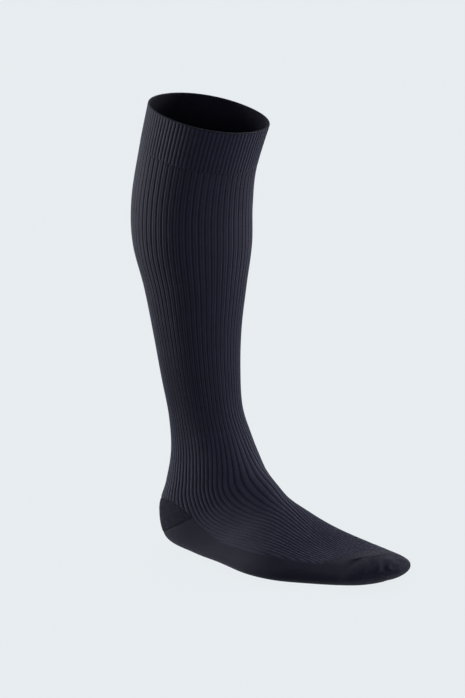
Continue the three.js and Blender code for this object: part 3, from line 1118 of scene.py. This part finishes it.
@dataclass
class TopBand(KnittedPart):
    """The turned double band round the top opening, with a soft rolled edge."""

    name: str = "band_cloth"
    node: str = "top_band"
    finish: KnitFinish = BAND_KNIT
    flat: tuple[float, float] = (0.336, 0.042)
    rib_height: float = 0.7
    thickness: float = 2.0
    spacing: float = 2.0
    roll: float = 0.9
    rib_start: float = 1.5
    hem_depth: float = 0.35
    edges: tuple[float, ...] = (0.0, 0.15, 0.4, 0.8, 1.3, 2.0)

    def _rolled(self, distance: Numbers) -> Numbers:
        """Gives how far the cloth falls away towards its rolled edge, in millimetres."""
        short = np.clip(self.roll - distance, 0, self.roll)
        return self.roll - np.sqrt(self.roll ** 2 - short ** 2)

    def build(self) -> bpy.types.Object:
        """Builds the band.

        Returns:
            The finished piece.
        """
        turns = self.all_round(BAND_RIBS)
        stretch = Stretch.between(self.outline, turns, level(0), level(BAND_HEM), self.spacing,
                                  self.edges)
        ribs = smoothstep(stretch.from_start / self.rib_start)
        outside = outer_sheet(self.outline, stretch, ribs, np.array(0.0))
        outside.wale = BAND_RIBS / 2 * (1 - np.abs(stretch.turn))
        outside.parted = np.zeros_like(stretch.turn)
        sink(outside, self._rolled(stretch.from_start)
             + seam_groove(stretch.to_end, self.hem_depth))
        inside = inner_sheet(self.outline, stretch, self.thickness)
        inside.plain = inside.plain - self._rolled(stretch.from_start) * MM
        return self.tube(outside, inside, sharp_rows=(-1,))


@dataclass
class LegTube(KnittedPart):
    """The ribbed tube from the band's hem down to the heel pocket and the instep."""

    name: str = "leg_cloth"
    node: str = "leg"
    finish: KnitFinish = RIBBED_KNIT
    flat: tuple[float, float] = (0.283, 0.325)
    spacing: float = 2.5
    hem_depth: float = 0.35
    seam_depth: float = 0.35
    rib_run_out: float = 3.5

    def build(self) -> bpy.types.Object:
        """Builds the leg.

        Returns:
            The finished piece.
        """
        turns = self.all_round(LEG_RIBS)
        start, end = level(BAND_HEM), heel_top_line
        stretch = Stretch.between(self.outline, turns, start, end, self.spacing)
        heel = over_heel(stretch.turn)
        ribs = rib_share(stretch.station, stretch.turn) * (
            1 - heel * (1 - smoothstep(stretch.to_end / self.rib_run_out)))
        outside = outer_sheet(self.outline, stretch, ribs, np.array(PLAIN_DEPTH))
        sink(outside, seam_groove(stretch.from_start, self.hem_depth)
             + heel * seam_groove(stretch.to_end, self.seam_depth))
        return self.tube(outside, self.inside(turns, start, end))


@dataclass
class HeelPocket(KnittedPart):
    """The terry pocket round the back of the heel, between two seams that meet at its corners."""

    name: str = "heel_cloth"
    node: str = "heel"
    finish: KnitFinish = TERRY_KNIT
    flat: tuple[float, float] = (0.170, 0.045)
    area: float | None = 0.0046
    spacing: float = 1.8
    seam_depth: float = 0.45
    columns: int = 220
    reach: float = 0.4999
    loop_margin: float = 0.02
    loop_columns: int = 120
    loop_rows: float = 3.0
    loop_spacing: float = 1.5
    loop_size: float = 0.55
    seed: int = 7

    def build(self) -> bpy.types.Object:
        """Builds the pocket's ground cloth.

        Returns:
            The finished piece.
        """
        turns = np.linspace(-self.reach, self.reach, self.columns + 1)
        bottom = level(HEEL_BOTTOM)
        stretch = Stretch.between(self.outline, turns, heel_top_line, bottom, self.spacing)
        none = np.zeros_like(stretch.turn)
        outside = outer_sheet(self.outline, stretch, none, none + TERRY_DEPTH)
        sink(outside, seam_groove(stretch.from_start, self.seam_depth)
             + seam_groove(stretch.to_end, self.seam_depth))
        cloth = ClothMesh(self.name)
        out_numbers = cloth.add_sheet(outside, False, True)
        inside = inner_sheet(self.outline, stretch, self.thickness)
        in_numbers = cloth.add_sheet(inside, False, False)
        cloth.add_rim(out_numbers[0], in_numbers[0], False, True)
        cloth.add_rim(out_numbers[-1], in_numbers[-1], False, False)
        cloth.add_rim(out_numbers[:, 0], in_numbers[:, 0], False, False)
        cloth.add_rim(out_numbers[:, -1], in_numbers[:, -1], False, True)
        for line in (out_numbers[0], out_numbers[-1], out_numbers[:, 0], out_numbers[:, -1]):
            cloth.sharpen(line)
        return self.finish_piece(cloth.to_object())

    def build_loops(self) -> bpy.types.Object:
        """Builds the terry loops that stand on the pocket.

        Returns:
            The finished piece.
        """
        reach = self.reach - self.loop_margin
        turns = np.linspace(-reach, reach, self.loop_columns + 1)
        bottom = level(HEEL_BOTTOM)
        stretch = Stretch.between(self.outline, turns, heel_top_line, bottom, self.loop_rows)
        inner_rows = slice(3, -3)
        none = np.zeros_like(stretch.turn[inner_rows])
        place = Stretch(*(getattr(stretch, name)[inner_rows]
                          for name in ("station", "turn", "from_start", "to_end")))
        ground = sink(outer_sheet(self.outline, place, none, none), none + TERRY_DEPTH)
        cloth = ClothMesh("heel_terry_loops")
        cloth.add_sheet(ground, False, True)
        item = self.workshop.apply(cloth.to_object(), NodeTreeKind.TERRY, {
            "Spacing": self.loop_spacing * MM, "Loop Size": self.loop_size * MM,
            "Seed": self.seed, "Material": self.workshop.cloth(TERRY_LOOPS)})
        return finish_trim(item)


@dataclass
class FootTube(KnittedPart):
    """The foot: ribs over the instep, which converge towards the toes, and a plain sole."""

    name: str = "foot_cloth"
    node: str = "foot"
    finish: KnitFinish = RIBBED_KNIT
    flat: tuple[float, float] = (0.262, 0.165)
    seam_depth: float = 0.35
    toe_seam_depth: float = 0.25
    edge_softness: float = 0.012
    side_columns: int = 150
    sole_columns: int = 130

    def build(self) -> bpy.types.Object:
        """Builds the foot.

        Returns:
            The finished piece.
        """
        edge = 0.5 - SOLE_EDGE_FALL
        side = np.linspace(edge, 1, self.side_columns + 1)
        sole = np.linspace(-edge, edge, self.sole_columns + 1)
        turns = np.concatenate([-side[::-1], sole[1:-1], side[:-1]])
        start, end = level(HEEL_BOTTOM), toe_seam_line
        stretch = Stretch.between(self.outline, turns, start, end, self.spacing)
        heel = over_heel(stretch.turn)
        past_edge = np.abs(stretch.turn) - sole_edge_line(stretch.station)
        instep = smoothstep(past_edge / self.edge_softness + 1)
        ribs = (instep * rib_share(stretch.station, stretch.turn)
                * smoothstep((RIB_END - stretch.station) / RIB_FADE))
        outside = outer_sheet(self.outline, stretch, ribs, np.array(PLAIN_DEPTH))
        sink(outside, heel * seam_groove(stretch.from_start, self.seam_depth)
             + over_toes(stretch.turn) * seam_groove(stretch.to_end, self.toe_seam_depth))
        return self.tube(outside, self.inside(turns, start, end))


@dataclass
class ToeCap(KnittedPart):
    """The plain toe pocket, which hangs a little slack beyond its seam."""

    name: str = "toe_cloth"
    node: str = "toe"
    finish: KnitFinish = PLAIN_KNIT
    flat: tuple[float, float] = (0.168, 0.032)
    area: float | None = 0.0034
    spacing: float = 1.3
    seam_depth: float = 0.25
    columns: int = 320
    dome_rings: int = 7
    inside_bulge: float = 0.5
    creases: tuple[Crease, ...] = (
        Crease(17.2, -0.60, 15, 6.0, 1.1, slant=75),
        Crease(17.9, -0.63, 13, 5.0, -0.6, slant=97),
        Crease(18.6, -0.61, 14, 6.0, 1.1, slant=84),
        Crease(19.35, -0.64, 13, 4.0, -1.0, slant=96),
        Crease(19.65, -0.76, 11, 4.0, 1.0, slant=100),
        Crease(19.9, -0.87, 10, 4.0, -0.9, slant=98),
        Crease(17.6, 0.63, 15, 7.5, 0.8, slant=-86),
        Crease(18.6, 0.60, 12, 6.0, 0.7, slant=-98),
        Crease(19.3, 0.74, 9, 4.0, -0.3, slant=-80),
        Crease(18.0, 0.08, 14, 6.0, 0.4, slant=70),
    )

    TIP_SHARE = 0.02

    def _dome(self, ring: Numbers, bulge: float) -> Numbers:
        """Rounds an end off from its last ring towards its middle.

        Args:
            ring: The last ring's points.
            bulge: How far the end stands out, in millimetres.

        Returns:
            The dome's rings, by row and column, without the last ring itself.
        """
        middle = ring.mean(axis=0)
        angle = np.linspace(0, math.pi / 2, self.dome_rings + 2)[1:-1, None, None]
        out = np.array([0.0, -bulge * MM, 0.0])
        return middle + (ring - middle) * np.cos(angle) + out * np.sin(angle)

    def _close(self, sheet: Sheet, bulge: float) -> tuple[Sheet, Numbers]:
        """Adds a dome's rings to a sheet.

        Args:
            sheet: The sheet to round off.
            bulge: How far its end stands out, in millimetres.

        Returns:
            The longer sheet, and the tip that is left to close.
        """
        rings = self._dome(sheet.points[-1], bulge)
        rise = np.linalg.norm(rings - sheet.points[-1], axis=-1)
        carried_on = {
            name: np.concatenate([values, np.repeat(values[-1:], len(rings), axis=0)])
            for name, values in vars(sheet).items() if name not in ("points", "along")}
        longer = Sheet(points=np.concatenate([sheet.points, rings]),
                       along=np.concatenate([sheet.along, sheet.along[-1] + rise]), **carried_on)
        tip = rings[-1].mean(axis=0) + np.array([0.0, -self.TIP_SHARE * bulge * MM, 0.0])
        return longer, tip

    def build(self) -> bpy.types.Object:
        """Builds the toe pocket.

        Returns:
            The finished piece.
        """
        turns = np.arange(self.columns) / (self.columns / 2) - 1
        end = level(LAST_STATION)
        stretch = Stretch.between(self.outline, turns, toe_seam_line, end, self.spacing)
        none = np.zeros_like(stretch.turn)
        outside = outer_sheet(self.outline, stretch, none, none)
        folds = sum(crease.depth_at(self.outline, outside.points) for crease in self.creases)
        seam = over_toes(stretch.turn) * seam_groove(stretch.from_start, self.seam_depth)
        sink(outside, PLAIN_DEPTH + seam + folds)
        outside, out_tip = self._close(outside, TIP_BULGE)
        inside = self.inside(turns, toe_seam_line, level(TOE_INSIDE_END))
        inside = sink(inside, inside.plain / MM)
        inside.plain = np.zeros_like(inside.plain)
        inside, in_tip = self._close(inside, self.inside_bulge)
        cloth = ClothMesh(self.name)
        out_numbers = cloth.add_sheet(outside, True, True)
        in_numbers = cloth.add_sheet(inside, True, False)
        cloth.add_rim(out_numbers[0], in_numbers[0], True, True)
        cloth.sharpen(out_numbers[0])
        cloth.add_tip(out_numbers[-1], outside, out_tip, True)
        cloth.add_tip(in_numbers[-1], inside, in_tip, False)
        return self.finish_piece(cloth.to_object())


@dataclass
class SeamLine:
    """A row of stitches along a line on the cloth.

    Attributes:
        outline: The stocking's outline.
        workshop: The node trees.
        name: The piece's name.
        line: The stations that the row follows.
        turns: The turns that it runs over.
        depth: How deep the stitches lie under the outline, in millimetres.
        stitch: Length of a stitch, in millimetres.
        thread: Half the thread's thickness, in millimetres.
        slant: How far each stitch turns off the line, in degrees.
        is_closed: Whether the row runs all round.
    """

    outline: Outline
    workshop: Workshop
    name: str
    line: StationLine
    turns: Numbers
    depth: float = 0.55
    stitch: float = 1.9
    thread: float = 0.3
    slant: float = 24.0
    is_closed: bool = True
    finish: KnitFinish = field(default=SEAM_THREAD)

    def build(self) -> bpy.types.Object:
        """Builds the row of stitches.

        Returns:
            The finished piece.
        """
        station = self.line(self.turns)
        outward = self.outline.outward(station, self.turns)
        points = self.outline.at(station, self.turns) - outward * self.depth * MM
        mesh = bpy.data.meshes.new(self.name)
        count = len(points)
        last = count if self.is_closed else count - 1
        mesh.from_pydata(points.tolist(), [(i, (i + 1) % count) for i in range(last)], [])
        store(mesh, "outward", "FLOAT_VECTOR", outward)
        item = add_object(self.name, mesh)
        self.workshop.apply(item, NodeTreeKind.STITCHES, {
            "Stitch Length": self.stitch * MM, "Thread": self.thread * MM,
            "Slant": math.radians(self.slant), "Material": self.workshop.cloth(self.finish)})
        return finish_trim(item)


@dataclass
class Viewpoint:
    """The camera at the photograph's viewing angle.

    Attributes:
        target: The place that it looks at, in metres.
        back: Unit direction from there to the camera.
        distance: How far away it stands, in metres.
        roll: How far it is turned round its own axis, in degrees.
        lens: Focal length, in millimetres.
    """

    target: Vector = field(default_factory=lambda: Vector((0.01783, 0.01225, -0.21835)))
    back: Vector = field(default_factory=lambda: Vector((-0.7154, -0.6671, 0.2079)))
    distance: float = 1.5
    roll: float = -4.76
    lens: float = 84.11

    def build(self) -> bpy.types.Object:
        """Places the camera.

        Returns:
            The scene's camera.
        """
        back = self.back.normalized()
        right = Vector((-back.y, back.x, 0.0)).normalized()
        up = back.cross(right)
        angle = math.radians(self.roll)
        right, up = (right * math.cos(angle) + up * math.sin(angle),
                     up * math.cos(angle) - right * math.sin(angle))
        camera = bpy.data.cameras.new("photo_view")
        camera.lens = self.lens
        item = add_object("photo_view", camera)
        turned = Matrix((right, up, back)).transposed().to_4x4()
        item.matrix_world = Matrix.Translation(self.target + back * self.distance) @ turned
        bpy.context.scene.camera = item
        return item


@dataclass(frozen=True)
class SoftBox:
    """A large soft lamp that looks at the middle of the stocking.

    Attributes:
        name: Its name.
        azimuth: Its direction round the stocking, in degrees: 0 is in front of the toes.
        elevation: How high it hangs, in degrees.
        distance: How far away it is, in metres.
        size: Its width and height, in metres.
        power: Its power, in watts.
    """

    name: str
    azimuth: float
    elevation: float
    distance: float
    size: tuple[float, float]
    power: float

    def build(self, target: Vector, floor: bpy.types.Object) -> None:
        """Hangs the lamp so that it looks at a target, and keeps its light off the floor."""
        turn, rise = math.radians(self.azimuth), math.radians(self.elevation)
        away = Vector((math.sin(turn) * math.cos(rise), -math.cos(turn) * math.cos(rise),
                       math.sin(rise)))
        lamp = bpy.data.lights.new(self.name, "AREA")
        lamp.shape = "RECTANGLE"
        lamp.size, lamp.size_y = self.size
        lamp.energy = self.power
        item = add_object(self.name, lamp)
        item.location = target + away * self.distance
        item.rotation_euler = away.to_track_quat("Z", "Y").to_euler()
        item.visible_camera = False
        unlit = bpy.data.collections.new(f"{self.name}_leaves_dark")
        unlit.objects.link(floor)
        unlit.collection_objects[0].light_linking.link_state = "EXCLUDE"
        item.light_linking.receiver_collection = unlit


@dataclass
class Studio:
    """A pale floor that curves up into a backdrop all round, and soft light.

    Attributes:
        floor: Height of the floor, in metres.
        flat_radius: Radius of its flat part.
        curve_radius: Radius of the curve that takes it up.
        wall: Height of the backdrop above the curve.
        paper: Colour of floor and backdrop.
        glow: Colour of the light that shines through them, as on a light table.
        glow_strength: Strength of that light.
        sky: Colour of the light from all round.
        sky_strength: Strength of that light.
    """

    floor: float = -0.4152
    flat_radius: float = 1.6
    curve_radius: float = 1.4
    wall: float = 1.2
    paper: str = "#303234"
    glow: str = "#e8edf0"
    glow_strength: float = 0.975
    sky: str = "#eef2f6"
    sky_strength: float = 0.7
    lamps: tuple[SoftBox, ...] = (
        SoftBox("left_strip", -156, 9, 1.2, (0.4, 1.5), 32),
        SoftBox("right_strip", 65, 20, 1.2, (0.4, 1.5), 17),
        SoftBox("front_fill", -47, 5, 1.6, (0.8, 0.5), 10),
        SoftBox("toe_light", 15, -6, 0.75, (0.15, 0.15), 4.5),
        SoftBox("top_light", -20, 65, 1.4, (0.9, 0.9), 3),
    )

    SEGMENTS = 96
    FLAT_STEPS = 4
    CURVE_STEPS = 16
    SKY_LOW = -0.5
    SKY_HIGH = 0.2
    SKY_BELOW = 0.15

    def build(self, target: Vector) -> None:
        """Builds the floor, the lamps and the light from all round."""
        floor = self._build_floor()
        for lamp in self.lamps:
            lamp.build(target, floor)
        bpy.context.scene.world = self._sky()
        bpy.context.scene.view_settings.view_transform = "Standard"

    def _sky(self) -> bpy.types.World:
        """Builds the light from all round, which is weak from below, where a table would be."""
        world = bpy.data.worlds.new("studio")
        world.use_nodes = True
        tree = world.node_tree
        way = add_node(tree, "ShaderNodeSeparateXYZ", inputs={
            0: add_node(tree, "ShaderNodeTexCoord").outputs["Generated"]})
        strength = add_node(tree, "ShaderNodeMapRange", inputs={
            "Value": way.outputs["Z"], "From Min": self.SKY_LOW, "From Max": self.SKY_HIGH,
            "To Min": self.sky_strength * self.SKY_BELOW, "To Max": self.sky_strength})
        background = tree.nodes["Background"]
        background.inputs["Color"].default_value = linear(self.sky)
        tree.links.new(strength.outputs["Result"], background.inputs["Strength"])
        return world

    def _build_floor(self) -> bpy.types.Object:
        """Turns the floor's profile round the stocking."""
        profile = [(self.flat_radius * step / self.FLAT_STEPS, 0.0)
                   for step in range(self.FLAT_STEPS + 1)]
        for step in range(1, self.CURVE_STEPS + 1):
            angle = math.pi / 2 * step / self.CURVE_STEPS
            profile.append((self.flat_radius + self.curve_radius * math.sin(angle),
                            self.curve_radius * (1 - math.cos(angle))))
        profile.append((self.flat_radius + self.curve_radius, self.curve_radius + self.wall))
        points, faces = [(0.0, 0.0, self.floor)], []
        for radius, height in profile[1:]:
            for segment in range(self.SEGMENTS):
                angle = math.tau * segment / self.SEGMENTS
                points.append((radius * math.cos(angle), radius * math.sin(angle),
                               self.floor + height))
        for segment in range(self.SEGMENTS):
            after = (segment + 1) % self.SEGMENTS
            faces.append((0, 1 + segment, 1 + after))
            for ring in range(len(profile) - 2):
                low, high = 1 + ring * self.SEGMENTS, 1 + (ring + 1) * self.SEGMENTS
                faces.append((low + segment, high + segment, high + after, low + after))
        mesh = bpy.data.meshes.new("studio_floor")
        mesh.from_pydata(points, [], faces)
        mesh.shade_smooth()
        mesh.materials.append(self._paper_material())
        item = add_object("studio_floor", mesh)
        item.visible_diffuse = False
        return item

    def _paper_material(self) -> bpy.types.Material:
        """Builds translucent matt paper, lit from behind as well, so that shadows stay faint."""
        material = bpy.data.materials.new("matt_backdrop_paper")
        material.use_nodes = True
        shader = material.node_tree.nodes["Principled BSDF"]
        shader.inputs["Base Color"].default_value = linear(self.paper)
        shader.inputs["Emission Color"].default_value = linear(self.glow)
        shader.inputs["Emission Strength"].default_value = self.glow_strength
        shader.inputs["Roughness"].default_value = 1.0
        shader.inputs["Specular IOR Level"].default_value = 0.0
        return material


# Steps along the rows of stitches, and how far the heel's rows reach to each side.
HEM_STEPS = 720
TOE_STEPS = 240
HEEL_STEPS = 360
HEEL_ROW_REACH = 0.495


def seam_lines(outline: Outline, workshop: Workshop) -> list[SeamLine]:
    """Lists the rows of stitches on the stocking."""
    around = np.linspace(-1, 1, HEM_STEPS + 1)[:-1]
    toes = np.linspace(TOE_SEAM_SHOWS, 2 - TOE_SEAM_SHOWS, TOE_STEPS + 1)
    heel = np.linspace(-HEEL_ROW_REACH, HEEL_ROW_REACH, HEEL_STEPS + 1)
    return [
        SeamLine(outline, workshop, "band_hem_stitches", level(BAND_HEM), around,
                 depth=0.5, stitch=2.2, thread=0.22, slant=18),
        SeamLine(outline, workshop, "heel_top_stitches", heel_top_line, heel,
                 thread=0.28, is_closed=False),
        SeamLine(outline, workshop, "heel_gore_stitches", level(HEEL_BOTTOM), heel,
                 thread=0.28, is_closed=False),
        SeamLine(outline, workshop, "toe_seam_stitches", toe_seam_line, toes,
                 depth=0.5, thread=0.3, is_closed=False),
    ]


def main() -> None:
    """Builds the stocking's pieces, the camera and the studio, and logs each piece."""
    logging.basicConfig(level=logging.INFO, format="%(name)s: %(message)s")
    outline = Outline()
    workshop = Workshop(outline)
    TopBand(outline, workshop).build()
    LegTube(outline, workshop).build()
    heel = HeelPocket(outline, workshop)
    heel.build()
    heel.build_loops()
    FootTube(outline, workshop).build()
    ToeCap(outline, workshop).build()
    for seam in seam_lines(outline, workshop):
        seam.build()
    view = Viewpoint()
    view.build()
    Studio().build(view.target)


if __name__ == "__main__":
    main()
